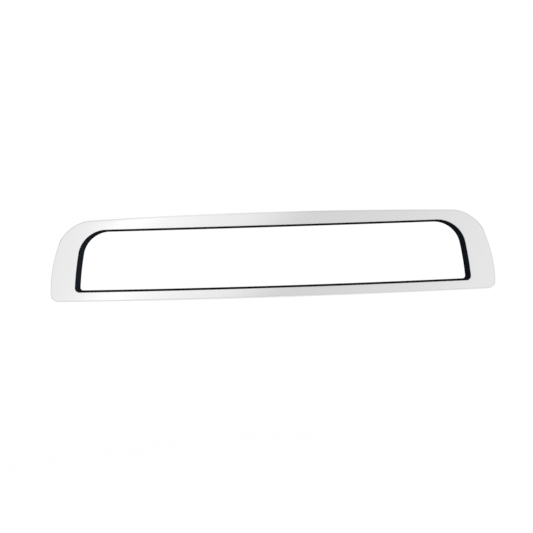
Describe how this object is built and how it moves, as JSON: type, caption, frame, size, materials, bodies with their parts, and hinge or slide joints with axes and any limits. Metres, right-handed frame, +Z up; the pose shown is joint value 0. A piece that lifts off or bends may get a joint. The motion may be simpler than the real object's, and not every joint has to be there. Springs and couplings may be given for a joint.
{
  "type": "third brake light trim ring",
  "caption": "Bowed chrome trim ring with an open window and a black rubber edge, stuck round a pickup cab's third brake light with foam tape under peel-off liners.",
  "frame": {"origin": "middle of the window, in the plane of the skirt's back rim at mid-width, which is the panel that the ring is stuck to", "axes": "+X to the right seen from the bright face, +Y into the panel, +Z up as on the vehicle"},
  "size_m": [0.4148, 0.0257, 0.078],
  "materials": {
    "bright_chrome": "polished plating on moulded plastic",
    "black_rubber": "satin",
    "grey_foam": "matt closed-cell foam",
    "red_film": "semi-gloss film"
  },
  "bodies": {
    "ring": {"chrome_bezel": "bright_chrome", "window_seal": "black_rubber", "tape_top_left": "grey_foam", "tape_top_centre": "grey_foam", "tape_top_right": "grey_foam", "tape_bottom_left": "grey_foam", "tape_bottom_centre": "grey_foam", "tape_bottom_right": "grey_foam", "tape_left_end": "grey_foam", "tape_right_end": "grey_foam"},
    "liner_top_left": {"liner_top_left": "red_film"},
    "liner_top_centre": {"liner_top_centre": "red_film"},
    "liner_top_right": {"liner_top_right": "red_film"},
    "liner_bottom_left": {"liner_bottom_left": "red_film"},
    "liner_bottom_centre": {"liner_bottom_centre": "red_film"},
    "liner_bottom_right": {"liner_bottom_right": "red_film"},
    "liner_left_end": {"liner_left_end": "red_film"},
    "liner_right_end": {"liner_right_end": "red_film"}
  },
  "joints": [
    {"name": "peel_top_left", "type": "slide", "parent": "ring", "child": "liner_top_left", "axis": [0, 1, 0], "range_m": [0, 0.03]},
    {"name": "peel_top_centre", "type": "slide", "parent": "ring", "child": "liner_top_centre", "axis": [0, 1, 0], "range_m": [0, 0.03]},
    {"name": "peel_top_right", "type": "slide", "parent": "ring", "child": "liner_top_right", "axis": [0, 1, 0], "range_m": [0, 0.03]},
    {"name": "peel_bottom_left", "type": "slide", "parent": "ring", "child": "liner_bottom_left", "axis": [0, 1, 0], "range_m": [0, 0.03]},
    {"name": "peel_bottom_centre", "type": "slide", "parent": "ring", "child": "liner_bottom_centre", "axis": [0, 1, 0], "range_m": [0, 0.03]},
    {"name": "peel_bottom_right", "type": "slide", "parent": "ring", "child": "liner_bottom_right", "axis": [0, 1, 0], "range_m": [0, 0.03]},
    {"name": "peel_left_end", "type": "slide", "parent": "ring", "child": "liner_left_end", "axis": [0, 1, 0], "range_m": [0, 0.03]},
    {"name": "peel_right_end", "type": "slide", "parent": "ring", "child": "liner_right_end", "axis": [0, 1, 0], "range_m": [0, 0.03]}
  ]
}
